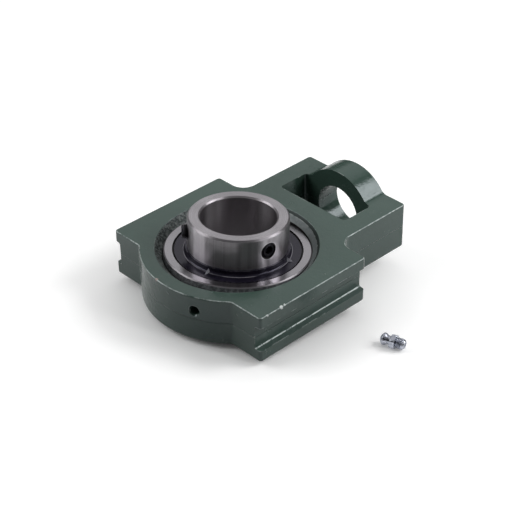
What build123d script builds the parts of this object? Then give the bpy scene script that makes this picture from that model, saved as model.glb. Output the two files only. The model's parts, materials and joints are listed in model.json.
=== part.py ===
from build123d import *
import os
from math import cos, radians, sin, sqrt

# Take up bearing unit, in millimetres.
# Origin: centre of the bearing, on the middle plane of the cast housing.
# +X runs towards the nut end, where the adjusting screw goes in, and +Z up out of the housing face.

# Cast housing
body_thickness = 27.0
rail_width = 110.6
rail_back_x = -36.7
rail_front_x = 38.4
groove_height = 13.6
groove_depth = 4.0
groove_rise = 0.3
block_width = 72.0
nut_end_x = 90.5
pocket_back_x = 55.3
pocket_front_x = 75.7
pocket_wall = 11.8
hump_diameter = 48.6
screw_hole_diameter = 29.0
body_blend = 8.0
boss_blend = 3.0
hump_blend = 5.0
corner_round = 1.8
edge_round = 0.7
bottom_round = 1.6
groove_round = 1.4
pocket_round = 2.2

# Spherical seat of the housing and the boss round it
seat_clearance = 0.3
mouth_depth = 4.1
mouth_widening = 2.9
boss_wall = 7.8
notch_clearance = 0.3
grease_groove_width = 4.4
grease_groove_depth = 1.3

# Tapped grease hole in the side of the boss, with a drilled passage into the seat
grease_hole_angle = -158.3
grease_hole_height = 4.9
grease_hole_radius = 2.5
grease_hole_mouth_radius = 3.1
grease_hole_mouth_depth = 0.7
grease_hole_depth = 7.7
grease_passage_radius = 2.1

# Bearing insert, which stands swivelled in its seat
tilt_about_x = -1.0
tilt_about_y = 3.9
sphere_radius = 40.0
insert_section = 20.0
outer_ring_width = 21.0
outer_ring_wall = 6.8
seal_rim = 5.8
seal_seat_depth = 3.0
outer_ring_chamfer = 0.5
ring_grease_hole_radius = 0.8
ring_grease_hole_height = 6.3
ring_grease_hole_angles = (-150, 30)

pin_radius = 2.0
pin_depth = 2.5
pin_stand_out = 1.3
pin_fit = 0.05
pin_slot_gap = 0.3
pin_slot_top = 6.2

inner_ring_wall = 6.5
inner_ring_top = 30.2
inner_ring_bottom = -19.0
inner_ring_chamfer = 0.9
inner_bore_chamfer = 0.8

ball_count = 9
ball_radius = 6.0
race_clearance = 0.3

cage_width = 4.4
cage_sheet = 0.8
rivet_radius = 0.8
rivet_head_radius = 1.4
rivet_head_height = 0.6

seal_gap = 0.3
seal_thickness = 1.1
seal_lip_height = 0.5
seal_lip_width = 1.2

flinger_gap = 1.1
flinger_depth = 1.2
flinger_sheet = 0.9
collar_sheet = 1.0
collar_stand_out = 2.7
flinger_blend = 1.2

# Set screws that clamp the shaft
set_screw_below_top = 8.2
set_screw_radius = 4.0
set_screw_length = 6.0
set_screw_fit = 0.05
set_screw_angles = (-97.4, 142.6)
set_screw_stand_outs = (-0.2, 2.7)
socket_across_flats = 4.0
socket_depth = 3.0
screw_end_chamfer = 0.5
cup_radius = 1.8
cup_depth = 0.8
cup_taper = 40

# Grease fitting, lying loose beside the unit
fitting_head_x = 24.0
fitting_head_y = -80.8
fitting_direction = -72.0
fitting_length = 13.2
fitting_hex_across_flats = 7.0
fitting_hex_start = 5.6
fitting_hex_length = 2.8
fitting_thread_radius = 2.9
fitting_head_radius = 3.25
fitting_neck_radius = 2.3
fitting_neck_start = 4.4
fitting_tip_radius = 1.7
fitting_tip_length = 1.3
fitting_shoulder = 2.6
fitting_duct_radius = 1.0
fitting_chamber_radius = 1.5
fitting_chamber_start = 1.2
fitting_chamber_end = 8.6
fitting_mouth_radius = 0.9
check_ball_radius = 1.2
check_ball_gap = 0.05
spring_radius = 1.0
spring_wire = 0.14
spring_turns = 5
spring_end_gap = 0.03

# Sizes that follow from those above
half_thickness = body_thickness / 2
guide_width = rail_width - 2 * groove_depth
pocket_width = block_width - 2 * pocket_wall
hump_radius = hump_diameter / 2
hump_meets_body = sqrt(hump_radius**2 - half_thickness**2)
hump_foot = sqrt((hump_radius + hump_blend) ** 2 - (half_thickness + hump_blend) ** 2)
seat_radius = sphere_radius + seat_clearance
seat_mouth_radius = sphere_radius + mouth_widening
seat_half_height = half_thickness - mouth_depth
seat_edge_radius = sqrt(seat_radius**2 - seat_half_height**2)
boss_radius = seat_mouth_radius + boss_wall
boss_meets_rail = sqrt(boss_radius**2 - rail_back_x**2)
half_ring = outer_ring_width / 2
outer_shoulder_radius = sphere_radius - outer_ring_wall
seal_seat_radius = sphere_radius - seal_rim
seal_seat_height = half_ring - seal_seat_depth
ring_face_radius = sqrt(sphere_radius**2 - half_ring**2) - outer_ring_chamfer
ring_edge_height = half_ring - outer_ring_chamfer
ring_edge_radius = sqrt(sphere_radius**2 - ring_edge_height**2)
pin_inner_end = sphere_radius - pin_depth
pin_outer_end = sphere_radius + pin_stand_out
inner_ring_bore_radius = sphere_radius - insert_section
inner_ring_radius = inner_ring_bore_radius + inner_ring_wall
pitch_radius = sphere_radius - insert_section / 2
race_radius = ball_radius + race_clearance
cage_inner_radius = pitch_radius - cage_width / 2
cage_outer_radius = pitch_radius + cage_width / 2
seal_inner_radius = inner_ring_radius + seal_gap
flinger_radius = seal_seat_radius - flinger_gap
flinger_bottom = half_ring - flinger_depth
flinger_face = flinger_bottom + flinger_sheet
flinger_bend = flinger_blend * (1 - sqrt(1 / 2))
collar_radius = inner_ring_radius + collar_sheet
collar_top = half_ring + collar_stand_out
set_screw_height = inner_ring_top - set_screw_below_top
ball_step = 360 / ball_count
cut_over = 5.0
past_mouth = 0.4
sliver = 0.01

insert = Plane(Location((0, 0, 0), (tilt_about_x, tilt_about_y, 0)))
insert_profile = Plane(origin=(0, 0, 0), x_dir=insert.x_dir, z_dir=-insert.y_dir)
bore_axis = Axis((0, 0, 0), insert.z_dir)


def insert_point(radius, angle, height):
    """A point of the insert, as a place in the housing's frame."""
    return insert.from_local_coords(
        (radius * cos(radians(angle)), radius * sin(radians(angle)), height)
    )


def radial_plane(radius, angle, height):
    """A plane across a radius of the insert, facing outwards."""
    outward = insert.from_local_coords((cos(radians(angle)), sin(radians(angle)), 0))
    return Plane(
        origin=insert_point(radius, angle, height), x_dir=insert.z_dir, z_dir=outward
    )


def on_rim(edge, side):
    """Whether an edge of the plain body runs along its rim on one side, or round the hump's end."""
    place = edge.center()
    return side * place.Z > half_thickness - sliver and (
        place.X < pocket_back_x
        or place.X > nut_end_x - sliver
        or abs(place.Y) > hump_foot + sliver
    )


os.makedirs("parts", exist_ok=True)


# One casting: boss with the seat, guide rails, nut pocket and end wall with its round hump
with BuildPart() as housing:
    with BuildSketch(Plane.XY.offset(-half_thickness)) as outline:
        with Locations(((rail_back_x + rail_front_x) / 2, 0)):
            RectangleRounded(rail_front_x - rail_back_x, rail_width, corner_round)
        with Locations((nut_end_x / 2, 0)):
            RectangleRounded(nut_end_x, block_width, corner_round)
        for side in (-1, 1):
            waist = outline.vertices().sort_by_distance((rail_front_x, side * block_width / 2))[0]
            fillet(waist, radius=body_blend)
        Circle(boss_radius)
        for side in (-1, 1):
            meeting = outline.vertices().sort_by_distance((rail_back_x, side * boss_meets_rail))[0]
            fillet(meeting, radius=boss_blend)
    extrude(amount=body_thickness)
    with BuildSketch(Plane.YZ.offset(pocket_front_x)) as end_wall:
        Circle(hump_radius)
        Rectangle(block_width - 4 * corner_round, body_thickness)
        for across in (-1, 1):
            for up in (-1, 1):
                meeting = end_wall.vertices().sort_by_distance(
                    (across * hump_meets_body, up * half_thickness)
                )[0]
                fillet(meeting, radius=hump_blend)
    extrude(amount=nut_end_x - pocket_front_x)
    fillet(housing.edges().filter_by(lambda edge: on_rim(edge, 1)), radius=edge_round)
    fillet(housing.edges().filter_by(lambda edge: on_rim(edge, -1)), radius=bottom_round)
    with BuildSketch(Plane.XY.offset(-half_thickness - cut_over)) as pocket:
        with Locations(((pocket_back_x + pocket_front_x) / 2, 0)):
            Rectangle(pocket_front_x - pocket_back_x, pocket_width)
        fillet(pocket.vertices(), radius=pocket_round)
    extrude(amount=body_thickness + 2 * cut_over, mode=Mode.SUBTRACT)
    with BuildSketch(Plane.YZ.offset(rail_back_x - cut_over)) as grooves:
        with Locations(
            (guide_width / 2 + cut_over, groove_rise), (-guide_width / 2 - cut_over, groove_rise)
        ):
            Rectangle(2 * cut_over, groove_height)
        inner_corners = grooves.vertices().sort_by(lambda corner: abs(corner.X))[:4]
        fillet(inner_corners, radius=groove_round)
    extrude(amount=rail_front_x - rail_back_x + 2 * cut_over, mode=Mode.SUBTRACT)
    with BuildSketch(Plane.YZ.offset(pocket_front_x - cut_over)):
        Circle(screw_hole_diameter / 2)
    extrude(amount=nut_end_x - pocket_front_x + 2 * cut_over, mode=Mode.SUBTRACT)
    with BuildSketch(Plane.XZ):
        with BuildLine():
            Polyline(
                (seat_edge_radius, seat_half_height),
                (seat_mouth_radius, half_thickness),
                (0, half_thickness),
                (0, -half_thickness),
                (seat_mouth_radius, -half_thickness),
                (seat_edge_radius, -seat_half_height),
            )
            ThreePointArc(
                (seat_edge_radius, -seat_half_height),
                (seat_radius, 0),
                (seat_edge_radius, seat_half_height),
            )
        make_face()
        with Locations((0, grease_hole_height)):
            Rectangle(
                seat_radius + grease_groove_depth,
                grease_groove_width,
                align=(Align.MIN, Align.CENTER),
            )
    revolve(axis=Axis.Z, mode=Mode.SUBTRACT)
    with BuildSketch(Plane.XY.offset(-half_thickness - cut_over)):
        Circle(seat_radius + notch_clearance)
        Rectangle(
            rail_width,
            outer_ring_width + 2 * notch_clearance,
            mode=Mode.INTERSECT,
        )
    extrude(amount=half_thickness + cut_over, mode=Mode.SUBTRACT)
    with BuildSketch(Plane.XZ.offset(sphere_radius / 2)):
        with Locations((0, -half_thickness - cut_over)):
            Rectangle(
                2 * (pin_radius + pin_slot_gap),
                half_thickness + cut_over + pin_slot_top,
                align=(Align.CENTER, Align.MIN),
            )
    extrude(amount=pin_outer_end + pin_slot_gap - sphere_radius / 2, mode=Mode.SUBTRACT)
    hole_plane = Plane(
        origin=(
            boss_radius * cos(radians(grease_hole_angle)),
            boss_radius * sin(radians(grease_hole_angle)),
            grease_hole_height,
        ),
        x_dir=(0, 0, 1),
        z_dir=(cos(radians(grease_hole_angle)), sin(radians(grease_hole_angle)), 0),
    )
    with BuildSketch(hole_plane):
        Circle(grease_hole_radius)
    extrude(amount=-grease_hole_depth, mode=Mode.SUBTRACT)
    with BuildSketch(hole_plane):
        Circle(grease_passage_radius)
    extrude(amount=seat_radius - boss_radius, mode=Mode.SUBTRACT)
    with BuildSketch(hole_plane.offset(past_mouth)):
        Circle(grease_hole_mouth_radius + past_mouth)
    with BuildSketch(hole_plane.offset(-grease_hole_mouth_depth)):
        Circle(grease_hole_radius)
    loft(mode=Mode.SUBTRACT)
housing.part.label = "housing"
export_step(housing.part, "parts/housing.step")


# Pin that stops the outer ring turning in its seat, on the ring's own middle plane
with BuildPart() as locating_pin:
    with BuildSketch(radial_plane(pin_inner_end, -90, 0)):
        Circle(pin_radius)
    extrude(amount=pin_outer_end - pin_inner_end)
locating_pin.part.label = "locating_pin"
export_step(locating_pin.part, "parts/locating_pin.step")


# Outer ring: spherical outside, ball race and a seat for each seal inside
with BuildPart() as outer_ring:
    with BuildSketch(insert_profile):
        with BuildLine():
            Polyline(
                (ring_edge_radius, ring_edge_height),
                (ring_face_radius, half_ring),
                (seal_seat_radius, half_ring),
                (seal_seat_radius, seal_seat_height),
                (outer_shoulder_radius, seal_seat_height),
                (outer_shoulder_radius, -seal_seat_height),
                (seal_seat_radius, -seal_seat_height),
                (seal_seat_radius, -half_ring),
                (ring_face_radius, -half_ring),
                (ring_edge_radius, -ring_edge_height),
            )
            ThreePointArc(
                (ring_edge_radius, -ring_edge_height),
                (sphere_radius, 0),
                (ring_edge_radius, ring_edge_height),
            )
        make_face()
        with Locations((pitch_radius, 0)):
            Circle(race_radius, mode=Mode.SUBTRACT)
    revolve(axis=bore_axis)
    for angle in ring_grease_hole_angles:
        with BuildSketch(radial_plane(pitch_radius, angle, ring_grease_hole_height)):
            Circle(ring_grease_hole_radius)
        extrude(amount=sphere_radius, mode=Mode.SUBTRACT)
    with BuildSketch(radial_plane(pin_inner_end, -90, 0)):
        Circle(pin_radius + pin_fit)
    extrude(amount=pin_depth + cut_over, mode=Mode.SUBTRACT)
outer_ring.part.label = "outer_ring"
export_step(outer_ring.part, "parts/outer_ring.step")


# Wide inner ring with two tapped holes for the set screws
with BuildPart() as inner_ring:
    with BuildSketch(insert_profile):
        with BuildLine():
            Polyline(
                (inner_ring_bore_radius, inner_ring_bottom + inner_bore_chamfer),
                (inner_ring_bore_radius + inner_bore_chamfer, inner_ring_bottom),
                (inner_ring_radius - inner_ring_chamfer, inner_ring_bottom),
                (inner_ring_radius, inner_ring_bottom + inner_ring_chamfer),
                (inner_ring_radius, inner_ring_top - inner_ring_chamfer),
                (inner_ring_radius - inner_ring_chamfer, inner_ring_top),
                (inner_ring_bore_radius + inner_bore_chamfer, inner_ring_top),
                (inner_ring_bore_radius, inner_ring_top - inner_bore_chamfer),
                close=True,
            )
        make_face()
        with Locations((pitch_radius, 0)):
            Circle(race_radius, mode=Mode.SUBTRACT)
    revolve(axis=bore_axis)
    for angle in set_screw_angles:
        with BuildSketch(radial_plane(inner_ring_bore_radius / 2, angle, set_screw_height)):
            Circle(set_screw_radius + set_screw_fit)
        extrude(amount=inner_ring_radius, mode=Mode.SUBTRACT)
inner_ring.part.label = "inner_ring"
export_step(inner_ring.part, "parts/inner_ring.step")


# Balls, each one a solid of its own
for index in range(ball_count):
    with BuildPart() as ball:
        with Locations(insert_point(pitch_radius, index * ball_step, 0)):
            Sphere(ball_radius)
    ball.part.label = f"ball_{index + 1}"
    export_step(ball.part, f"parts/ball_{index + 1}.step")


# Two pressed cage halves, flat between the balls and cupped round each of them
for name, side in (("cage_upper", 1), ("cage_lower", -1)):
    with BuildPart() as cage:
        with BuildSketch(insert):
            Circle(cage_outer_radius)
            Circle(cage_inner_radius, mode=Mode.SUBTRACT)
        extrude(amount=side * cage_sheet)
        for index in range(ball_count):
            with Locations(insert_point(pitch_radius, index * ball_step, 0)):
                Sphere(race_radius + cage_sheet)
        with BuildSketch(insert):
            Circle(cage_outer_radius)
            Circle(cage_inner_radius, mode=Mode.SUBTRACT)
        extrude(amount=side * 2 * ball_radius, mode=Mode.INTERSECT)
        for index in range(ball_count):
            with Locations(insert_point(pitch_radius, index * ball_step, 0)):
                Sphere(race_radius, mode=Mode.SUBTRACT)
        for index in range(ball_count):
            with BuildSketch(
                Plane(
                    origin=insert_point(pitch_radius, (index + 1 / 2) * ball_step, 0),
                    x_dir=insert.x_dir,
                    z_dir=insert.z_dir,
                )
            ):
                Circle(rivet_radius)
            extrude(amount=side * cage_sheet, mode=Mode.SUBTRACT)
    cage.part.label = name
    export_step(cage.part, f"parts/{name}.step")


# Rivets that hold the cage halves together
with BuildPart() as cage_rivets:
    for index in range(ball_count):
        for start, length, radius in (
            (-cage_sheet - rivet_head_height, rivet_head_height, rivet_head_radius),
            (-cage_sheet, 2 * cage_sheet, rivet_radius),
            (cage_sheet, rivet_head_height, rivet_head_radius),
        ):
            with BuildSketch(insert.offset(start)):
                with Locations(
                    (
                        pitch_radius * cos(radians((index + 1 / 2) * ball_step)),
                        pitch_radius * sin(radians((index + 1 / 2) * ball_step)),
                    )
                ):
                    Circle(radius)
            extrude(amount=length)
cage_rivets.part.label = "cage_rivets"
export_step(cage_rivets.part, "parts/cage_rivets.step")


# Rubber seal on each side, held in the outer ring
for name, side in (("seal_upper", 1), ("seal_lower", -1)):
    with BuildPart() as seal:
        with BuildSketch(insert_profile):
            with Locations((seal_inner_radius, side * (seal_seat_height + seal_thickness / 2))):
                Rectangle(
                    seal_seat_radius - seal_inner_radius,
                    seal_thickness,
                    align=(Align.MIN, Align.CENTER),
                )
            with Locations((seal_inner_radius, side * (seal_seat_height - seal_lip_height / 2))):
                Rectangle(seal_lip_width, seal_lip_height, align=(Align.MIN, Align.CENTER))
        revolve(axis=bore_axis)
    seal.part.label = name
    export_step(seal.part, f"parts/{name}.step")


# Pressed flinger on each side, tight on the inner ring, with a collar that stands up
for name, side in (("flinger_upper", 1), ("flinger_lower", -1)):
    with BuildPart() as flinger:
        with BuildSketch(insert_profile):
            with BuildLine():
                Polyline(
                    (collar_radius + flinger_blend, side * flinger_face),
                    (flinger_radius, side * flinger_face),
                    (flinger_radius, side * flinger_bottom),
                    (inner_ring_radius, side * flinger_bottom),
                    (inner_ring_radius, side * collar_top),
                    (collar_radius, side * collar_top),
                    (collar_radius, side * (flinger_face + flinger_blend)),
                )
                ThreePointArc(
                    (collar_radius, side * (flinger_face + flinger_blend)),
                    (collar_radius + flinger_bend, side * (flinger_face + flinger_bend)),
                    (collar_radius + flinger_blend, side * flinger_face),
                )
            make_face()
        revolve(axis=bore_axis)
    flinger.part.label = name
    export_step(flinger.part, f"parts/{name}.step")


# Set screws: hexagon socket outside, cup point towards the shaft
for name, angle, stand_out in zip(
    ("set_screw_1", "set_screw_2"), set_screw_angles, set_screw_stand_outs
):
    outer_end = inner_ring_radius + stand_out
    with BuildPart() as set_screw:
        with BuildSketch(radial_plane(outer_end - set_screw_length, angle, set_screw_height)):
            Circle(set_screw_radius)
        extrude(amount=set_screw_length)
        chamfer(set_screw.edges().filter_by(GeomType.CIRCLE), length=screw_end_chamfer)
        with BuildSketch(radial_plane(outer_end, angle, set_screw_height)):
            RegularPolygon(socket_across_flats / 2, 6, major_radius=False)
        extrude(amount=-socket_depth, mode=Mode.SUBTRACT)
        with BuildSketch(radial_plane(outer_end - set_screw_length, angle, set_screw_height)):
            Circle(cup_radius)
        extrude(amount=cup_depth, taper=cup_taper, mode=Mode.SUBTRACT)
    set_screw.part.label = name
    export_step(set_screw.part, f"parts/{name}.step")


# Grease fitting on its side, its head towards the unit, on the level the unit stands on
fitting_level = inner_ring_bottom + fitting_hex_across_flats / 2
head_start = insert.to_local_coords(Vector(fitting_head_x, fitting_head_y, 0))
fitting_way = (
    insert.x_dir * cos(radians(fitting_direction)) + insert.y_dir * sin(radians(fitting_direction))
)
fitting_plane = Plane(
    origin=insert.from_local_coords((head_start.X, head_start.Y, fitting_level)),
    x_dir=insert.z_dir,
    z_dir=fitting_way,
)
fitting_profile = Plane(
    origin=fitting_plane.origin, x_dir=fitting_plane.x_dir, z_dir=-fitting_plane.y_dir
)
fitting_axis = Axis(fitting_plane.origin, fitting_way)
hex_end = fitting_hex_start + fitting_hex_length
with BuildPart() as fitting:
    with BuildSketch(fitting_profile):
        with BuildLine():
            Polyline(
                (0, 0),
                (fitting_tip_radius, 0),
                (fitting_head_radius, fitting_tip_length),
                (fitting_head_radius, fitting_shoulder),
                (fitting_neck_radius, fitting_neck_start),
                (fitting_neck_radius, fitting_hex_start),
                (fitting_thread_radius, fitting_hex_start),
                (fitting_thread_radius, fitting_length - screw_end_chamfer),
                (fitting_thread_radius - screw_end_chamfer, fitting_length),
                (0, fitting_length),
                close=True,
            )
        make_face()
    revolve(axis=fitting_axis)
    with BuildSketch(fitting_plane.offset(fitting_hex_start)):
        RegularPolygon(fitting_hex_across_flats / 2, 6, major_radius=False)
    extrude(amount=fitting_hex_length)
    with BuildSketch(fitting_plane):
        Circle(fitting_mouth_radius)
    extrude(amount=fitting_chamber_start, mode=Mode.SUBTRACT)
    with BuildSketch(fitting_plane.offset(fitting_chamber_start)):
        Circle(fitting_chamber_radius)
    extrude(amount=fitting_chamber_end - fitting_chamber_start, mode=Mode.SUBTRACT)
    with BuildSketch(fitting_plane.offset(fitting_chamber_end)):
        Circle(fitting_duct_radius)
    extrude(amount=fitting_length - fitting_chamber_end, mode=Mode.SUBTRACT)
fitting.part.label = "grease_fitting_body"
export_step(fitting.part, "parts/grease_fitting_body.step")


# Check ball that closes the mouth of the grease fitting
ball_depth = (
    fitting_chamber_start + sqrt(check_ball_radius**2 - fitting_mouth_radius**2) + check_ball_gap
)
with BuildPart() as check_ball:
    with Locations(fitting_plane.offset(ball_depth).origin):
        Sphere(check_ball_radius)
check_ball.part.label = "grease_fitting_ball"
export_step(check_ball.part, "parts/grease_fitting_ball.step")


# Spring that pushes the check ball shut
spring_start = ball_depth + sqrt(check_ball_radius**2 - spring_radius**2) + spring_wire + spring_end_gap
spring_length = fitting_chamber_end - spring_wire - spring_start
with BuildPart() as spring:
    with BuildLine() as coil:
        Helix(
            pitch=spring_length / spring_turns,
            height=spring_length,
            radius=spring_radius,
            center=fitting_plane.offset(spring_start).origin,
            direction=fitting_way,
        )
    with BuildSketch(Plane(origin=coil.line @ 0, z_dir=coil.line % 0)):
        Circle(spring_wire)
    sweep(path=coil.line)
spring.part.label = "grease_fitting_spring"
export_step(spring.part, "parts/grease_fitting_spring.step")
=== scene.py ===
import json
import math

import bpy
from mathutils import Matrix, Vector


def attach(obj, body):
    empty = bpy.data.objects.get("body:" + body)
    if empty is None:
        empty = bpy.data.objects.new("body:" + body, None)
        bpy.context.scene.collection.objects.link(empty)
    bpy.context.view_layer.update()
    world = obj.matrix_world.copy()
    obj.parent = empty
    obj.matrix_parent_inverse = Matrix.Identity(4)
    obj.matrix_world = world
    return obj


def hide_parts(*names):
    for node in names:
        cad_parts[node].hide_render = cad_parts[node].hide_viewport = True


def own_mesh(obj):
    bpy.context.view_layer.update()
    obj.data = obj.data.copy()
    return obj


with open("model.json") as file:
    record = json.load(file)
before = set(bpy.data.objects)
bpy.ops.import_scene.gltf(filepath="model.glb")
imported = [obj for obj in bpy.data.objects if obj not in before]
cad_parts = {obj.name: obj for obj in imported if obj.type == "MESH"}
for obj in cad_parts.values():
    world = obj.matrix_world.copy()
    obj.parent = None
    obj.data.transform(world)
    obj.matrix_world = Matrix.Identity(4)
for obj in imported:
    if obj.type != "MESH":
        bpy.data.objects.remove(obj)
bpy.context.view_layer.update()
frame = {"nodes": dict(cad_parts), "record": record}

MM = 0.001
UP = Vector((0, 0, 1))

# The insert's own frame, in degrees: it stands swivelled in the housing, as in the photograph
TILT_ABOUT_X = -1.0
TILT_ABOUT_Y = 3.9
TILT = (
    Matrix.Rotation(math.radians(TILT_ABOUT_X), 4, "X")
    @ Matrix.Rotation(math.radians(TILT_ABOUT_Y), 4, "Y")
)

# Heights along the insert's axis and distances from it in millimetres, and angles in degrees
RING_BOTTOM = -19.0
SCREW_HEIGHT = 22.0
SCREW_ANGLES = (-97.4, 142.6)
SCREW_OUTER_ENDS = (26.3, 29.2)

# Camera, solved from the photograph's edges and circles
CAMERA_PLACE = Vector((-433.9335, -475.4872, 448.2840)) * MM
CAMERA_RIGHT = Vector((0.72027692, -0.693579, -0.01222018))
CAMERA_UP = Vector((0.4017238, 0.40269626, 0.82246806))
CAMERA_BACK = Vector((-0.56552556, -0.5973139, 0.56868001))
CAMERA_LENS = 103.7856
CAMERA_SENSOR = 36.0
CAMERA_CLIP = (0.01, 20.0)
# Angle in degrees at which the camera stands, seen from above
CAMERA_BEARING = math.degrees(math.atan2(CAMERA_BACK.y, CAMERA_BACK.x))


def flat_way(degrees):
    """Unit vector that lies in the XY plane, at an angle from +X."""
    angle = math.radians(degrees)
    return Vector((math.cos(angle), math.sin(angle), 0))


def rgb(r, g, b):
    return (r, g, b, 1.0)


WHITE = rgb(1.0, 1.0, 1.0)


# Node materials
class Nodes:
    """A small helper that builds one node material."""

    def __init__(self, name):
        self.material = bpy.data.materials.new(name)
        self.material.use_nodes = True
        self.tree = self.material.node_tree
        self.tree.nodes.clear()
        self.shader = self.add("ShaderNodeBsdfPrincipled")
        out = self.add("ShaderNodeOutputMaterial")
        self.link(self.shader.outputs[0], out.inputs["Surface"])

    def add(self, kind, **settings):
        node = self.tree.nodes.new(kind)
        for key, value in settings.items():
            setattr(node, key, value)
        return node

    def link(self, source, target):
        self.tree.links.new(source, target)

    def feed(self, socket, value):
        if isinstance(value, bpy.types.NodeSocket):
            self.link(value, socket)
        else:
            socket.default_value = value

    def set(self, **values):
        """Feeds the shader's inputs and gives the finished material."""
        for name, value in values.items():
            self.feed(self.shader.inputs[name.replace("_", " ")], value)
        return self.material

    def math(self, operation, a, b=None):
        node = self.add("ShaderNodeMath", operation=operation)
        self.feed(node.inputs[0], a)
        if b is not None:
            self.feed(node.inputs[1], b)
        return node.outputs[0]

    def plus(self, a, b):
        return self.math("ADD", a, b)

    def times(self, first, *others):
        for other in others:
            first = self.math("MULTIPLY", first, other)
        return first

    def most(self, first, *others):
        for other in others:
            first = self.math("MAXIMUM", first, other)
        return first

    def size(self, value):
        return self.math("ABSOLUTE", value)

    def vector(self, operation, a, b):
        """Vector that an operation on two vectors gives."""
        node = self.add("ShaderNodeVectorMath", operation=operation)
        self.feed(node.inputs[0], a)
        self.feed(node.inputs[1], b)
        return node.outputs["Vector"]

    def measure(self, operation, a, b=None):
        """Number that an operation on one or two vectors gives, such as a length."""
        node = self.add("ShaderNodeVectorMath", operation=operation)
        self.feed(node.inputs[0], a)
        if b is not None:
            self.feed(node.inputs[1], b)
        return node.outputs["Value"]

    def scaled(self, vector, scale):
        node = self.add("ShaderNodeVectorMath", operation="SCALE")
        self.link(vector, node.inputs[0])
        node.inputs["Scale"].default_value = scale
        return node.outputs["Vector"]

    def joined(self, x, y=None):
        node = self.add("ShaderNodeCombineXYZ")
        self.link(x, node.inputs[0])
        if y is not None:
            self.link(y, node.inputs[1])
        return node.outputs[0]

    def split(self, vector):
        node = self.add("ShaderNodeSeparateXYZ")
        self.link(vector, node.inputs[0])
        return node.outputs

    def coords(self):
        return self.add("ShaderNodeTexCoord").outputs["Object"]

    def tilted(self):
        """Object coordinates in the insert's own frame."""
        turn = self.add("ShaderNodeMapping", vector_type="POINT")
        turn.inputs["Rotation"].default_value = TILT.inverted().to_euler("XYZ")
        self.link(self.coords(), turn.inputs["Vector"])
        return turn.outputs[0]

    def off_axis(self, vector):
        """Distance from the Z axis."""
        x, y, _ = self.split(vector)
        return self.math("SQRT", self.plus(self.times(x, x), self.times(y, y)))

    def up(self):
        """How far a surface faces up: 1 on top faces, 0 on sides and -1 on undersides."""
        return self.split(self.add("ShaderNodeTexCoord").outputs["Normal"])[2]

    def noise_node(self, vector, scale):
        node = self.add("ShaderNodeTexNoise")
        self.link(vector, node.inputs["Vector"])
        node.inputs["Scale"].default_value = scale
        return node

    def noise(self, vector, scale, detail=3.0, rough=0.5):
        node = self.noise_node(vector, scale)
        node.inputs["Detail"].default_value = detail
        node.inputs["Roughness"].default_value = rough
        return node.outputs["Fac"]

    def cells(self, vector, scale):
        node = self.add("ShaderNodeTexVoronoi")
        self.link(vector, node.inputs["Vector"])
        node.inputs["Scale"].default_value = scale
        return node.outputs["Distance"]

    def ragged(self, vector, scale, reach):
        """The same coordinates, shifted by a noise, for ragged outlines. The reach is in millimetres."""
        shift = self.vector("SUBTRACT", self.noise_node(vector, scale).outputs["Color"], (0.5, 0.5, 0.5))
        return self.vector("ADD", vector, self.scaled(shift, reach * MM))

    def steps(self, value, low, high, to_low=0.0, to_high=1.0):
        """Smooth step from one value to another, between two limits in either order."""
        node = self.add("ShaderNodeMapRange", clamp=True, interpolation_type="SMOOTHSTEP")
        self.feed(node.inputs["Value"], value)
        node.inputs["From Min"].default_value = low
        node.inputs["From Max"].default_value = high
        node.inputs["To Min"].default_value = to_low
        node.inputs["To Max"].default_value = to_high
        return node.outputs[0]

    def band(self, value, limits, soft):
        """1 between two limits, and 0 beyond them."""
        low, high = limits
        rise = self.steps(value, low - soft, low + soft)
        fall = self.steps(value, high - soft, high + soft, 1.0, 0.0)
        return self.times(rise, fall)

    def zone(self, value, limits):
        """0 at the first limit and 1 at the second. The limits are in millimetres."""
        first, second = limits
        return self.steps(value, first * MM, second * MM)

    def stripe(self, value, limits, soft):
        """1 between two limits, and 0 beyond them, all in millimetres."""
        low, high = limits
        return self.band(value, (low * MM, high * MM), soft * MM)

    def near(self, place, point, reach, soft):
        """1 close to a point, and 0 further off than its reach, all in millimetres."""
        gap = self.measure("DISTANCE", place, tuple(c * MM for c in point))
        return self.zone(gap, (reach + soft, reach))

    def edge(self, radius, low, high):
        """1 on sharp edges and 0 on flats. The radius is in millimetres."""
        rounded = self.add("ShaderNodeBevel", samples=8)
        rounded.inputs["Radius"].default_value = radius * MM
        true = self.add("ShaderNodeNewGeometry").outputs["Normal"]
        match = self.measure("DOT_PRODUCT", rounded.outputs[0], true)
        return self.steps(match, high, low)

    def mix(self, factor, a, b):
        node = self.add("ShaderNodeMix", data_type="RGBA")
        self.feed(node.inputs["Factor"], factor)
        colour_a, colour_b = [s for s in node.inputs if s.type == "RGBA"]
        self.feed(colour_a, a)
        self.feed(colour_b, b)
        return [s for s in node.outputs if s.type == "RGBA"][0]

    def mix_value(self, factor, a, b):
        node = self.add("ShaderNodeMix", data_type="FLOAT")
        for socket, value in zip((node.inputs[0], node.inputs[2], node.inputs[3]), (factor, a, b)):
            self.feed(socket, value)
        return node.outputs[0]

    def bump(self, height, strength, distance):
        """Normal of a bumpy surface. The distance is in millimetres."""
        node = self.add("ShaderNodeBump")
        self.feed(node.inputs["Height"], height)
        node.inputs["Strength"].default_value = strength
        node.inputs["Distance"].default_value = distance * MM
        return node.outputs[0]


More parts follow.
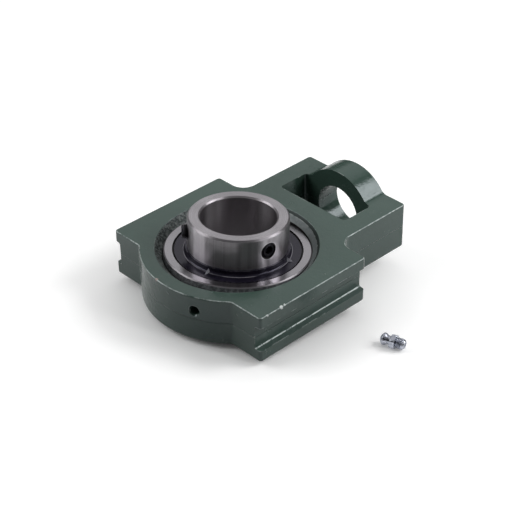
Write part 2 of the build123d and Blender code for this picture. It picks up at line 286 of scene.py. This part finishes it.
# Paint and bare iron of the casting
PAINT_DARK = rgb(0.031, 0.057, 0.045)
PAINT_LIGHT = rgb(0.042, 0.075, 0.060)
PAINT_WORN = rgb(0.072, 0.104, 0.090)
PAINT_PITS = rgb(0.020, 0.032, 0.026)
# Pale paint worn thin, which also paints highlights on the rim, the groove's foot and sharp edges
PAINT_THIN_AND_HIGHLIGHT = rgb(0.50, 0.56, 0.54)
PAINT_TINT = rgb(0.88, 0.96, 1.0)
MOUTH_DARK = rgb(0.022, 0.029, 0.026)
MOUTH_LIGHT = rgb(0.175, 0.195, 0.187)
# Turned side of the mouth: a turned finish painted lighter as painted light, with painted shade on its lip
# and a painted highlight along it
TURNED_LIT_DARK = rgb(0.185, 0.210, 0.208)
TURNED_LIT_LIGHT = rgb(0.240, 0.268, 0.266)
LIP_SHADE = rgb(0.016, 0.026, 0.021)
LIP_HIGHLIGHT = rgb(0.42, 0.46, 0.45)
SEAT_DARK = rgb(0.016, 0.015, 0.014)
SEAT_LIGHT = rgb(0.065, 0.060, 0.056)

# Direction from the bearing's middle to the side where the seat's mouth is turned smooth, and painted
# lighter as painted light
TURNED_LIT_WAY = (0.766, -0.643, 0.0)

# Zones of the casting in millimetres: each fades in from its first limit to its second
MOUTH_RADIUS = (43.1, 42.7)
MOUTH_HEIGHT = (13.45, 13.2)
SEAT_RADIUS = (41.8, 40.5)
SEAT_HEIGHT = (9.6, 9.0)
TURNED_REACH = (14.0, 26.0)
TURNED_HEIGHT = (12.2, 11.8)
LIP_HEIGHT = (11.8, 12.2)
RIM_RADIUS = (43.8, 44.6)
PARTING_RADIUS = (49.5, 50.0)

# Stripes of the casting in millimetres: each lies between its two limits
# The lip line is a painted highlight
LIP_HIGHLIGHT_LINE = (11.9, 12.2)
# The rim and foot stripes carry painted highlights, and the rim's is partly paint worn thin
RIM_HEIGHT = (12.8, 13.48)
FOOT_HEIGHT = (-6.40, -5.95)
FOOT_SIDE = (51.3, 52.1)
PARTING_HEIGHT = (-0.25, 0.25)

# Chips in the paint: place and reach in millimetres, and colour
CHIPS = (
    ((-49.9, 5.6, 13.2), 0.7, rgb(0.34, 0.27, 0.25)),
    ((-21.7, -54.9, 13.0), 0.9, rgb(0.66, 0.70, 0.68)),
    ((-19.5, -54.7, 13.3), 0.5, rgb(0.60, 0.64, 0.62)),
    ((-31.5, -55.0, 13.1), 0.5, rgb(0.50, 0.54, 0.52)),
)
CHIP_SOFTNESS = 0.25


class CastingPaint(Nodes):
    """The painted casting, with bare iron in its seat and thin paint on the seat's mouth."""

    def __init__(self):
        super().__init__("housing_paint")
        self.place = self.coords()
        _, self.y, self.z = self.split(self.place)
        self.radius = self.off_axis(self.place)
        self.facing_up = self.up()
        self.middle = self.noise(self.place, scale=110.0, detail=4.0, rough=0.6)
        self.fine = self.noise(self.place, scale=420.0, detail=4.0, rough=0.6)
        self.speckle = self.noise(self.place, scale=620.0, detail=3.0, rough=0.7)
        height = self.size(self.z)
        self.in_mouth = self.times(self.zone(self.radius, MOUTH_RADIUS), self.zone(height, MOUTH_HEIGHT))
        self.in_seat = self.times(self.zone(self.radius, SEAT_RADIUS), self.zone(height, SEAT_HEIGHT))
        self.turned = self.zone(self.measure("DOT_PRODUCT", self.place, TURNED_LIT_WAY), TURNED_REACH)

    def paint(self):
        """Mottled green paint, with worn patches and dark pits."""
        broad = self.noise(self.place, scale=14.0, detail=3.0)
        grain = self.noise(self.place, scale=1500.0, detail=2.0, rough=0.6)
        colour = self.mix(self.steps(broad, 0.35, 0.68), PAINT_DARK, PAINT_LIGHT)
        colour = self.mix(self.steps(self.middle, 0.58, 0.78, 0.0, 0.35), colour, PAINT_WORN)
        return self.mix(self.steps(grain, 0.64, 0.8, 0.0, 0.5), colour, PAINT_PITS)

    def mouth(self):
        """The seat's mouth: speckled at one side, and turned smooth at the other, where it is also painted
        lighter as painted light, with painted shade on its lip and a broken painted highlight along the lip.
        """
        smooth = self.mix(self.steps(self.fine, 0.35, 0.65), TURNED_LIT_DARK, TURNED_LIT_LIGHT)
        colour = self.mix(self.steps(self.speckle, 0.42, 0.62), MOUTH_DARK, MOUTH_LIGHT)
        colour = self.mix(self.times(self.turned, self.zone(self.z, LIP_HEIGHT)), colour, LIP_SHADE)
        colour = self.mix(self.times(self.turned, self.zone(self.z, TURNED_HEIGHT)), colour, smooth)
        broken = self.steps(self.noise(self.place, scale=240.0, detail=4.0, rough=0.7), 0.46, 0.58)
        line = self.times(self.turned, self.stripe(self.z, LIP_HIGHLIGHT_LINE, soft=0.1), broken)
        return self.mix(self.times(line, 0.8), colour, LIP_HIGHLIGHT)

    def seat(self):
        """Rough bare iron in the seat itself."""
        return self.mix(self.steps(self.speckle, 0.4, 0.7), SEAT_DARK, SEAT_LIGHT)

    def wear_and_highlights(self):
        """Painted highlights along the rim, at the foot of the groove and on sharp edges, with paint worn
        thin on the rim and the edges as well.
        """
        gaps = self.steps(self.noise(self.place, scale=75.0, detail=5.0, rough=0.7), 0.34, 0.50)
        flecks = self.noise(self.place, scale=520.0, detail=3.0, rough=0.7)
        rim = self.times(
            self.stripe(self.z, RIM_HEIGHT, soft=0.1),
            self.band(self.facing_up, (0.40, 0.95), soft=0.05),
            self.zone(self.radius, RIM_RADIUS),
            gaps,
            self.steps(flecks, 0.40, 0.62, 0.35, 1.0),
        )
        foot = self.times(
            self.stripe(self.z, FOOT_HEIGHT, soft=0.1),
            self.stripe(self.size(self.y), FOOT_SIDE, soft=0.2),
            self.steps(self.noise(self.place, scale=160.0, detail=3.0, rough=0.7), 0.42, 0.52),
        )
        patches = self.steps(self.noise(self.place, scale=95.0, detail=4.0, rough=0.65), 0.50, 0.60)
        edges = self.times(self.edge(radius=1.0, low=0.90, high=0.985), patches)
        return self.most(rim, foot, self.times(edges, 0.4))

    def colour(self):
        colour = self.mix(self.in_mouth, self.paint(), self.mouth())
        colour = self.mix(self.in_seat, colour, self.seat())
        # Painted highlights and paint worn thin
        colour = self.mix(self.times(self.wear_and_highlights(), 0.85), colour, PAINT_THIN_AND_HIGHLIGHT)
        ragged = self.ragged(self.place, scale=900.0, reach=1.6)
        for point, reach, chip in CHIPS:
            colour = self.mix(self.near(ragged, point, reach, CHIP_SOFTNESS), colour, chip)
        return colour

    def roughness(self):
        both = self.plus(self.times(self.fine, 0.5), self.times(self.middle, 0.5))
        painted = self.steps(both, 0.3, 0.75, 0.13, 0.30)
        return self.mix_value(self.most(self.in_mouth, self.in_seat), painted, 0.60)

    def relief(self):
        """Cast skin with pits, a faint parting line and coarse bare iron."""
        pits = self.steps(self.cells(self.place, scale=170.0), 0.0, 0.16)
        parting = self.times(
            self.stripe(self.z, PARTING_HEIGHT, soft=0.12),
            self.zone(self.radius, PARTING_RADIUS),
            self.steps(self.size(self.facing_up), 0.3, 0.1),
        )
        unturned = self.math("SUBTRACT", 1.0, self.turned)
        coarse = self.most(self.times(self.in_mouth, unturned), self.in_seat)
        height = self.plus(self.times(self.fine, 0.7), self.middle)
        height = self.plus(height, self.times(pits, 0.35))
        height = self.math("SUBTRACT", height, self.times(parting, 0.8))
        return self.plus(height, self.times(coarse, self.times(self.speckle, 1.6)))

    def finished(self):
        return self.set(
            Base_Color=self.colour(),
            Roughness=self.roughness(),
            Normal=self.bump(self.relief(), strength=0.85, distance=0.22),
            Metallic=self.times(self.in_seat, 0.4),
            Specular_IOR_Level=0.50,
            Specular_Tint=PAINT_TINT,
        )


# Ground steel of the two rings
STEEL_DARK = rgb(0.37, 0.35, 0.37)
STEEL_LIGHT = rgb(0.52, 0.50, 0.53)
STEEL_STREAK = rgb(0.24, 0.22, 0.24)
STEEL_SMEAR = rgb(0.32, 0.29, 0.30)
STEEL_SPECK = rgb(0.08, 0.07, 0.07)
STEEL_NICK = rgb(0.92, 0.91, 0.93)
OUTER_RING_STEEL = rgb(0.33, 0.32, 0.34)
BORE_STEEL = rgb(0.36, 0.34, 0.36)
CHAMFER_STEEL = rgb(0.16, 0.15, 0.16)
HOLE_LIP = rgb(0.85, 0.84, 0.86)
# Painted shade inside the tapped holes
HOLE_PAINTED_SHADE = rgb(0.030, 0.028, 0.030)

# Zones of the rings in millimetres: each fades in from its first limit to its second
OUTER_RING_RADIUS = (32.5, 33.0)
BORE_RADIUS = (21.2, 20.6)
OUTER_CHAMFER_RADIUS = (24.0, 25.0)
HOLE_REACH = (21.5, 22.5)
HOLE_RADIUS = (4.75, 4.45)

# The thin lip of each tapped hole lies between two radii in millimetres
HOLE_LIP_RADIUS = (4.7, 5.0)


class RingSteel(Nodes):
    """Ground steel: fine rings round the insert's axis, on its sides and its end faces alike."""

    def __init__(self):
        super().__init__("ring_steel")
        self.place = self.tilted()
        self.x, self.y, z = self.split(self.place)
        self.radius = self.off_axis(self.place)
        facing_up = self.size(self.up())
        line = self.joined(self.plus(self.radius, z))
        self.stripes = self.noise(line, scale=5200.0, detail=4.0, rough=0.7)
        self.on_side = self.steps(facing_up, 0.35, 0.15)
        self.on_chamfer = self.band(facing_up, (0.35, 0.93), soft=0.06)
        self.on_outer_ring = self.zone(self.radius, OUTER_RING_RADIUS)
        self.in_bore = self.zone(self.radius, BORE_RADIUS)

    def striped(self, low, high):
        """Roughness that changes from ring to ring."""
        return self.steps(self.stripes, 0.3, 0.7, low, high)

    def colour(self):
        around = self.joined(
            self.math("DIVIDE", self.x, self.radius), self.math("DIVIDE", self.y, self.radius)
        )
        streaks = self.steps(self.noise(around, scale=9.0, detail=5.0, rough=0.7), 0.40, 0.62)
        smear = self.steps(self.noise(self.place, scale=60.0, detail=3.0, rough=0.6), 0.45, 0.75)
        specks = self.steps(self.noise(self.place, scale=900.0, detail=3.0, rough=0.7), 0.66, 0.78)
        chamfer = self.times(self.on_chamfer, self.zone(self.radius, OUTER_CHAMFER_RADIUS))
        worn = self.steps(self.noise(self.place, scale=330.0, detail=3.0, rough=0.7), 0.5, 0.62)
        nicks = self.times(self.edge(radius=0.4, low=0.85, high=0.98), worn)
        colour = self.mix(self.steps(self.stripes, 0.3, 0.7), STEEL_DARK, STEEL_LIGHT)
        layers = (
            (self.on_outer_ring, OUTER_RING_STEEL),
            (self.times(streaks, self.on_side, 0.55), STEEL_STREAK),
            (self.times(smear, 0.15), STEEL_SMEAR),
            (self.times(specks, 0.35), STEEL_SPECK),
            (self.in_bore, BORE_STEEL),
            (self.times(chamfer, 0.65), CHAMFER_STEEL),
            (self.times(nicks, 0.6), STEEL_NICK),
        )
        for share, layer in layers:
            colour = self.mix(share, colour, layer)
        return colour

    def roughness(self):
        rough = self.mix_value(self.on_side, self.striped(0.24, 0.34), self.striped(0.27, 0.34))
        rough = self.mix_value(self.times(self.in_bore, self.on_side), rough, self.striped(0.27, 0.33))
        rough = self.mix_value(self.on_outer_ring, rough, self.striped(0.15, 0.22))
        return self.mix_value(self.on_chamfer, rough, 0.45)

    def with_holes(self, colour, rough):
        """Painted shade in the mouths of the two tapped holes, each with a thin bright lip."""
        middle = self.vector("SUBTRACT", self.place, (0.0, 0.0, SCREW_HEIGHT * MM))
        for angle in SCREW_ANGLES:
            way = tuple(flat_way(angle))
            off_line = self.measure("LENGTH", self.vector("CROSS_PRODUCT", middle, way))
            outside = self.zone(self.measure("DOT_PRODUCT", middle, way), HOLE_REACH)
            mouth = self.times(outside, self.zone(off_line, HOLE_RADIUS))
            lip = self.times(outside, self.stripe(off_line, HOLE_LIP_RADIUS, soft=0.1))
            colour = self.mix(self.times(lip, 0.5), colour, HOLE_LIP)
            colour = self.mix(mouth, colour, HOLE_PAINTED_SHADE)
            rough = self.mix_value(mouth, rough, 0.40)
        return colour, rough

    def finished(self):
        colour, rough = self.with_holes(self.colour(), self.roughness())
        tangent = self.add("ShaderNodeTangent", direction_type="RADIAL", axis="Z")
        return self.set(
            Base_Color=colour,
            Metallic=1.0,
            Roughness=rough,
            Normal=self.bump(self.stripes, strength=0.10, distance=0.03),
            Tangent=tangent.outputs[0],
            Anisotropic=0.9,
            Anisotropic_Rotation=0.25,
        )


# Blackened steel
# Pale worn steel, also painted as highlights on edges and along the collar's bend
BLACK_WORN_AND_HIGHLIGHT = rgb(0.30, 0.29, 0.31)
BLACK_TINT = rgb(0.80, 0.78, 1.0)

# The flinger's collar bends between two radii in millimetres, and a painted highlight lies along the bend
COLLAR_BEND_RADIUS = (28.2, 28.6)


def blackened(name, base, lighter, rough, sheen, scale=240.0):
    """Blackened steel with pale edges, partly bare wear and partly painted highlights, and a painted
    highlight along the bend of the flinger's collar.
    """
    n = Nodes(name)
    place = n.tilted()
    fine = n.noise(place, scale, detail=4.0, rough=0.6)
    broad = n.noise(place, scale=45.0, detail=3.0)
    colour = n.mix(n.steps(fine, 0.35, 0.75), base, lighter)
    edges = n.times(n.edge(radius=0.3, low=0.8, high=0.97), n.steps(n.noise(place, scale=380.0), 0.42, 0.6))
    bend = n.times(
        n.stripe(n.off_axis(place), COLLAR_BEND_RADIUS, soft=0.1),
        n.steps(n.noise(place, scale=60.0), 0.40, 0.55),
    )
    colour = n.mix(n.times(n.most(edges, bend), 0.5), colour, BLACK_WORN_AND_HIGHLIGHT)
    both = n.plus(n.times(fine, 0.5), n.times(broad, 0.5))
    return n.set(
        Base_Color=colour,
        Roughness=n.steps(both, 0.3, 0.7, *rough),
        Normal=n.bump(fine, strength=0.2, distance=0.05),
        Specular_IOR_Level=sheen,
        Specular_Tint=BLACK_TINT,
    )


def grained(name, low, high, rough, scale, metallic, strength, distance):
    """One colour with a fine grain."""
    n = Nodes(name)
    fine = n.noise(n.coords(), scale, detail=4.0, rough=0.6)
    return n.set(
        Base_Color=n.mix(n.steps(fine, 0.3, 0.7), low, high),
        Metallic=metallic,
        Roughness=n.steps(fine, 0.3, 0.7, *rough),
        Normal=n.bump(fine, strength, distance),
    )


def bright_metal(name, low, high, rough, scale):
    return grained(name, low, high, rough, scale, metallic=1.0, strength=0.2, distance=0.03)


def rubber(name, low, high, rough, scale):
    return grained(name, low, high, rough, scale, metallic=0.0, strength=0.3, distance=0.05)


LOOKS = {
    "housing_paint": CastingPaint().finished(),
    "ring_steel": RingSteel().finished(),
    "ball_steel": bright_metal(
        "ball_steel", rgb(0.60, 0.60, 0.62), rgb(0.72, 0.72, 0.74), rough=(0.06, 0.12), scale=300.0
    ),
    "cage_steel": bright_metal(
        "cage_steel", rgb(0.38, 0.36, 0.33), rgb(0.52, 0.50, 0.46), rough=(0.25, 0.42), scale=400.0
    ),
    "seal_rubber": rubber(
        "seal_rubber", rgb(0.012, 0.012, 0.012), rgb(0.028, 0.027, 0.027), rough=(0.55, 0.75), scale=500.0
    ),
    "flinger_black": blackened(
        "flinger_black", rgb(0.007, 0.006, 0.011), rgb(0.014, 0.012, 0.021), rough=(0.16, 0.26), sheen=0.34
    ),
    # Pale steel on the gussets: painted glints
    "flinger_gusset_glint": blackened(
        "flinger_gusset_glint", rgb(0.22, 0.22, 0.25), rgb(0.70, 0.70, 0.76), rough=(0.20, 0.30), sheen=0.5
    ),
    "screw_black": blackened(
        "screw_black", rgb(0.003, 0.003, 0.003), rgb(0.008, 0.008, 0.009), rough=(0.28, 0.45), sheen=0.20,
        scale=500.0,
    ),
    "zinc": bright_metal(
        "zinc", rgb(0.30, 0.32, 0.37), rgb(0.52, 0.54, 0.61), rough=(0.20, 0.38), scale=700.0
    ),
}
slots = {entry["node"]: entry["material_slot"] for entry in frame["record"]["subparts"]}
for name, node in frame["nodes"].items():
    node.data.materials.clear()
    node.data.materials.append(LOOKS[slots[name]])


# Objects and meshes
SEGMENTS = 96
TURNED_SHARP = 30
# Radius in millimetres that is small enough to close a turned piece at its axis
ON_AXIS = 0.01
# Threads: rows in each pitch, and the part of a pitch over which a thread runs out
STEPS_PER_PITCH = 8
THREAD_RUN_OUT = 0.6
# How steep a thread's flanks are and how blunt its crest is
THREAD_FLANK = 1.25
THREAD_CREST = 1.3


def new_object(name, data):
    """Puts a mesh, a lamp or a camera into the scene."""
    obj = bpy.data.objects.new(name, data)
    bpy.context.scene.collection.objects.link(obj)
    return obj


def new_piece(name, mesh, look):
    """Puts a mesh into the scene with one material."""
    mesh.materials.append(look)
    return new_object(name, mesh)


def lofted(name, rings, place, look, sharp):
    """Closed piece through rings of points in millimetres, each with the same number of points."""
    count = len(rings[0])
    verts = [tuple(c * MM for c in point) for ring in rings for point in ring]
    faces = []
    for k in range(len(rings) - 1):
        for i in range(count):
            j = (i + 1) % count
            faces.append((k * count + i, k * count + j, (k + 1) * count + j, (k + 1) * count + i))
    faces.append(tuple(reversed(range(count))))
    faces.append(tuple(range((len(rings) - 1) * count, len(rings) * count)))
    mesh = bpy.data.meshes.new(name)
    mesh.from_pydata(verts, [], faces)
    mesh.transform(place)
    mesh.update()
    mesh.shade_smooth()
    mesh.set_sharp_from_angle(angle=math.radians(sharp))
    return new_piece(name, mesh, look)


def turned(name, rows, place, look):
    """Closed piece turned about its own Z. A row is a height and a radius, or a function that gives one."""
    rings = []
    for height, radius in rows:
        ring = []
        for i in range(SEGMENTS):
            angle = 2 * math.pi * i / SEGMENTS
            reach = radius(angle, height) if callable(radius) else radius
            ring.append((reach * math.cos(angle), reach * math.sin(angle), height))
        rings.append(ring)
    return lofted(name, rings, place, look, TURNED_SHARP)


def hexagon(across_flats, limit=None):
    """Radius of a hexagon at an angle, with its corners cut off at a limit if one is given."""
    def radius(angle, height):
        corner = (angle % (math.pi / 3)) - math.pi / 6
        reach = across_flats / 2 / math.cos(corner)
        return min(reach, limit) if limit else reach
    return radius


def thread_rows(limits, crest, root, pitch):
    """Rows of a right-handed thread that runs out at both of its ends."""
    start, end = limits

    def radius(angle, height):
        turn = (height / pitch - angle / (2 * math.pi)) % 1.0
        run_out = THREAD_RUN_OUT * pitch
        fade = max(0.0, min(1.0, (height - start) / run_out, (end - height) / run_out))
        ridge = max(0.0, 1.0 - abs(2 * turn - 1.0) * THREAD_FLANK)
        return root + (crest - root) * min(1.0, ridge * THREAD_CREST) * fade

    count = int(round((end - start) / pitch * STEPS_PER_PITCH))
    return [(start + (end - start) * k / count, radius) for k in range(count + 1)]


def along(origin, direction, side):
    """Placement whose Z runs along a direction and whose X leans to a side. Its origin is in millimetres."""
    z = direction.normalized()
    x = (side - z * side.dot(z)).normalized()
    placement = Matrix((x, z.cross(x), z)).transposed().to_4x4()
    placement.translation = origin * MM
    return placement


# Set screws: heights from the cupped end and radii, in millimetres
SCREW_LENGTH = 6.0
SCREW_CUP = [(0.8, ON_AXIS), (0.8, 0.5), (0.0, 1.8), (0.0, 2.9), (0.3, 3.35)]
SCREW_THREAD = (0.35, 5.6)
SCREW_CREST = 3.97
SCREW_ROOT = 3.45
SCREW_PITCH = 1.0
SCREW_FACE = [(5.75, 3.4), (SCREW_LENGTH, 3.1), (SCREW_LENGTH, 2.55)]
SOCKET = hexagon(4.0)
SCREW_SOCKET = [(5.8, hexagon(4.25)), (5.6, SOCKET), (3.1, SOCKET), (2.8, 1.6), (2.5, ON_AXIS)]

screw_thread = thread_rows(SCREW_THREAD, SCREW_CREST, SCREW_ROOT, SCREW_PITCH)
for number, angle, outer_end in zip((1, 2), SCREW_ANGLES, SCREW_OUTER_ENDS):
    outward = flat_way(angle)
    inner_end = TILT @ (outward * (outer_end - SCREW_LENGTH) + UP * SCREW_HEIGHT)
    screw = turned(
        f"set_screw_{number}_threaded",
        SCREW_CUP + screw_thread + SCREW_FACE + SCREW_SOCKET,
        along(inner_end, TILT @ outward, TILT @ UP),
        LOOKS["screw_black"],
    )
    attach(screw, f"set_screw_{number}_body")
    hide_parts(f"set_screw_{number}")

# Gussets pressed into the bend of the flinger's collar, in degrees and millimetres. Their pale colour is a
# painted glint
GUSSET_ANGLES = (-166.0, -66.5)
GUSSET_TOP_RADIUS = 27.3
GUSSET_TOP_HEIGHT = 12.3
GUSSET_FOOT_RADIUS = 31.3
GUSSET_FOOT_HEIGHT = 10.15
GUSSET_HALF_WIDTH = 1.2
GUSSET_FACES = [(0, 1, 2), (0, 3, 1), (0, 2, 3), (1, 3, 2)]

for number, angle in zip((1, 2), GUSSET_ANGLES):
    outward = flat_way(angle)
    sideways = Vector((-outward.y, outward.x, 0)) * GUSSET_HALF_WIDTH
    collar = outward * GUSSET_TOP_RADIUS
    low = UP * GUSSET_FOOT_HEIGHT
    corners = [
        collar + UP * GUSSET_TOP_HEIGHT,
        outward * GUSSET_FOOT_RADIUS + low,
        collar + sideways + low,
        collar - sideways + low,
    ]
    mesh = bpy.data.meshes.new(f"flinger_gusset_glint_{number}")
    mesh.from_pydata([TILT @ corner * MM for corner in corners], [], GUSSET_FACES)
    gusset = new_piece(f"flinger_gusset_glint_{number}", mesh, LOOKS["flinger_gusset_glint"])
    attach(gusset, "inner_body")

# Grease fitting: heights from the mouth of its head and radii, in millimetres
FITTING_PLACE = Vector((24.0, -80.8, 0))
FITTING_DIRECTION = -72.0
FITTING_HEIGHT = 3.5
FITTING_MOUTH = [(1.2, ON_AXIS), (1.2, 0.85), (0.1, 0.95), (0.0, 1.15), (0.0, 1.5), (0.15, 1.75)]
FITTING_HEAD = [(0.9, 2.75), (1.25, 3.1), (1.6, 3.24), (2.3, 3.24), (2.7, 3.1)]
FITTING_NECK = [(3.5, 2.5), (4.1, 2.3), (5.5, 2.32), (5.6, 2.6)]
NUT_END = hexagon(6.9, limit=3.62)
NUT = hexagon(7.0, limit=3.9)
FITTING_NUT = [(5.6, NUT_END), (5.85, NUT), (8.1, NUT), (8.4, NUT_END), (8.4, 2.55)]
FITTING_THREAD = (8.5, 12.6)
FITTING_CREST = 2.95
FITTING_ROOT = 2.4
FITTING_PITCH = 0.75
FITTING_END = [(12.8, 2.35), (13.2, 2.05), (13.2, 1.05), (13.0, 0.98), (9.5, 0.95), (9.3, ON_AXIS)]

fitting_way = TILT @ flat_way(FITTING_DIRECTION)
on_ground = TILT.inverted() @ FITTING_PLACE
on_ground.z = RING_BOTTOM + FITTING_HEIGHT
fitting_place = along(TILT @ on_ground, fitting_way, TILT @ UP)
fitting_thread = thread_rows(FITTING_THREAD, FITTING_CREST, FITTING_ROOT, FITTING_PITCH)
nipple = turned(
    "grease_fitting_threaded",
    FITTING_MOUTH + FITTING_HEAD + FITTING_NECK + FITTING_NUT + fitting_thread + FITTING_END,
    fitting_place,
    LOOKS["zinc"],
)
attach(nipple, "housing_body")
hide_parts("grease_fitting_body")

# Spring behind the check ball, in millimetres from the mouth. On the real fitting it shortens as the ball is
# pushed in
SPRING_START = 2.877
SPRING_END = 8.46
SPRING_RADIUS = 1.0
SPRING_WIRE = 0.14
SPRING_TURNS = 5
SPRING_SHARP = 40
STEPS_PER_TURN = 24
WIRE_SIDES = 8


def helix_rings():
    """Rings of wire along the spring, each square to the wire's own direction."""
    rise = (SPRING_END - SPRING_START) / (2 * math.pi * SPRING_TURNS)
    rings = []
    for k in range(SPRING_TURNS * STEPS_PER_TURN + 1):
        angle = 2 * math.pi * k / STEPS_PER_TURN
        outward = Vector((math.cos(angle), math.sin(angle), 0))
        forward = Vector((-outward.y * SPRING_RADIUS, outward.x * SPRING_RADIUS, rise)).normalized()
        middle = outward * SPRING_RADIUS + UP * (SPRING_START + rise * angle)
        ring = []
        for i in range(WIRE_SIDES):
            turn = 2 * math.pi * i / WIRE_SIDES
            offset = outward * math.cos(turn) + forward.cross(outward) * math.sin(turn)
            ring.append(middle + offset * SPRING_WIRE)
        rings.append(ring)
    return rings


spring = lofted("check_spring", helix_rings(), fitting_place, LOOKS["zinc"], SPRING_SHARP)
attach(spring, "housing_body")
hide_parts("grease_fitting_spring")
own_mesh(spring)


# Floor: its size in metres, and its gap under the inner ring in millimetres
FLOOR_SIZE = 12.0
FLOOR_GAP = 0.02
FLOOR_DARK = rgb(0.93, 0.93, 0.93)
FLOOR_LIGHT = rgb(0.95, 0.95, 0.95)
FLOOR_THROWN_BACK = rgb(0.22, 0.22, 0.22)

# Glow of the floor: where it starts and is full, in metres from the middle, and its strength
NEAR_GLOW = (0.03, 0.10, 0.24)
FAR_GLOW = (0.35, 1.5, 0.80)


def floor_material():
    """White for the camera and in reflections, and greyer for the light that it throws back."""
    n = Nodes("studio_floor")
    fine = n.noise(n.coords(), scale=30.0, detail=2.0)
    seen = n.mix(n.steps(fine, 0.3, 0.7), FLOOR_DARK, FLOOR_LIGHT)
    rays = n.add("ShaderNodeLightPath").outputs
    shown = n.most(rays["Is Camera Ray"], rays["Is Glossy Ray"], rays["Is Transmission Ray"])
    reach = n.off_axis(n.coords())
    glows = [n.steps(reach, start, full, 0.0, strength) for start, full, strength in (NEAR_GLOW, FAR_GLOW)]
    return n.set(
        Base_Color=n.mix(shown, FLOOR_THROWN_BACK, seen),
        Roughness=0.85,
        Specular_IOR_Level=0.0,
        Emission_Color=WHITE,
        Emission_Strength=n.times(shown, n.plus(*glows)),
    )


bpy.ops.mesh.primitive_plane_add(size=FLOOR_SIZE)
floor = bpy.context.object
floor.name = "studio_floor"
floor.data.transform(Matrix.Translation(UP * (RING_BOTTOM - FLOOR_GAP) * MM))
floor.data.transform(TILT)
floor.data.materials.append(floor_material())

# Painted dark reflection: a dark sheet that lies on the floor in front, shows in reflections only and casts
# no shadow
FLAG_REFLECTION_COLOUR = rgb(0.12, 0.12, 0.12)
FLAG_PARTS = 8

# The flag lies between two bearings from the camera's in degrees, and between two distances in metres
FLAG_BEARINGS = (-70, 46)
FLAG_REACH = (0.115, 0.80)

# Height of the flag over the inner ring's lower end in millimetres
FLAG_LIFT = 0.2


def flag_mesh():
    """Flat sector of a ring."""
    first, last = FLAG_BEARINGS
    corners = []
    for reach in FLAG_REACH:
        for k in range(FLAG_PARTS + 1):
            bearing = CAMERA_BEARING + first + (last - first) * k / FLAG_PARTS
            corners.append(TILT @ (flat_way(bearing) * reach + UP * (RING_BOTTOM + FLAG_LIFT) * MM))
    outer = FLAG_PARTS + 1
    faces = [(k, k + 1, outer + k + 1, outer + k) for k in range(FLAG_PARTS)]
    mesh = bpy.data.meshes.new("dark_reflection_flag")
    mesh.from_pydata(corners, [], faces)
    return mesh


flag_reflection_look = Nodes("dark_reflection_flag").set(Base_Color=FLAG_REFLECTION_COLOUR, Roughness=0.9, Specular_IOR_Level=0.0)
flag = new_piece("dark_reflection_flag", flag_mesh(), flag_reflection_look)
flag.visible_camera = False
flag.visible_diffuse = False
flag.visible_shadow = False
flag.visible_transmission = False

# Light
WORLD_LEVEL = 0.05

# Bearing from the camera's in degrees to the right, distance, height, width and length in metres, and level
LAMPS = {
    "overhead": (180, 0.25, 1.30, 1.2, 1.2, 0.7),
    "back_panel": (180, 0.95, 0.80, 1.6, 0.8, 0.8),
    "left_box": (-97, 0.74, 0.52, 0.66, 0.58, 3.7),
    "right_box": (96, 0.74, 0.54, 0.42, 0.46, 7.4),
    "right_strip": (60, 0.76, 0.46, 0.12, 0.50, 7.0),
}

world = bpy.data.worlds.new("studio")
bpy.context.scene.world = world
world.use_nodes = True
background = world.node_tree.nodes["Background"]
background.inputs["Color"].default_value = WHITE
background.inputs["Strength"].default_value = WORLD_LEVEL

for name, (bearing, distance, height, width, length, level) in LAMPS.items():
    lamp_data = bpy.data.lights.new(name, "AREA")
    lamp_data.shape = "RECTANGLE"
    lamp_data.size = width
    lamp_data.size_y = length
    lamp_data.energy = level * math.pi * width * length
    lamp = new_object(name, lamp_data)
    lamp.location = flat_way(CAMERA_BEARING + bearing) * distance + UP * height
    lamp.rotation_euler = (-lamp.location).to_track_quat("-Z", "Y").to_euler()

# Camera
camera_data = bpy.data.cameras.new("camera")
camera_data.lens = CAMERA_LENS
camera_data.sensor_width = CAMERA_SENSOR
camera_data.sensor_fit = "HORIZONTAL"
camera_data.clip_start, camera_data.clip_end = CAMERA_CLIP
camera = new_object("camera", camera_data)
pose = Matrix((CAMERA_RIGHT, CAMERA_UP, CAMERA_BACK)).transposed().to_4x4()
pose.translation = CAMERA_PLACE
camera.matrix_world = pose
bpy.context.scene.camera = camera
bpy.context.scene.view_settings.view_transform = "Standard"
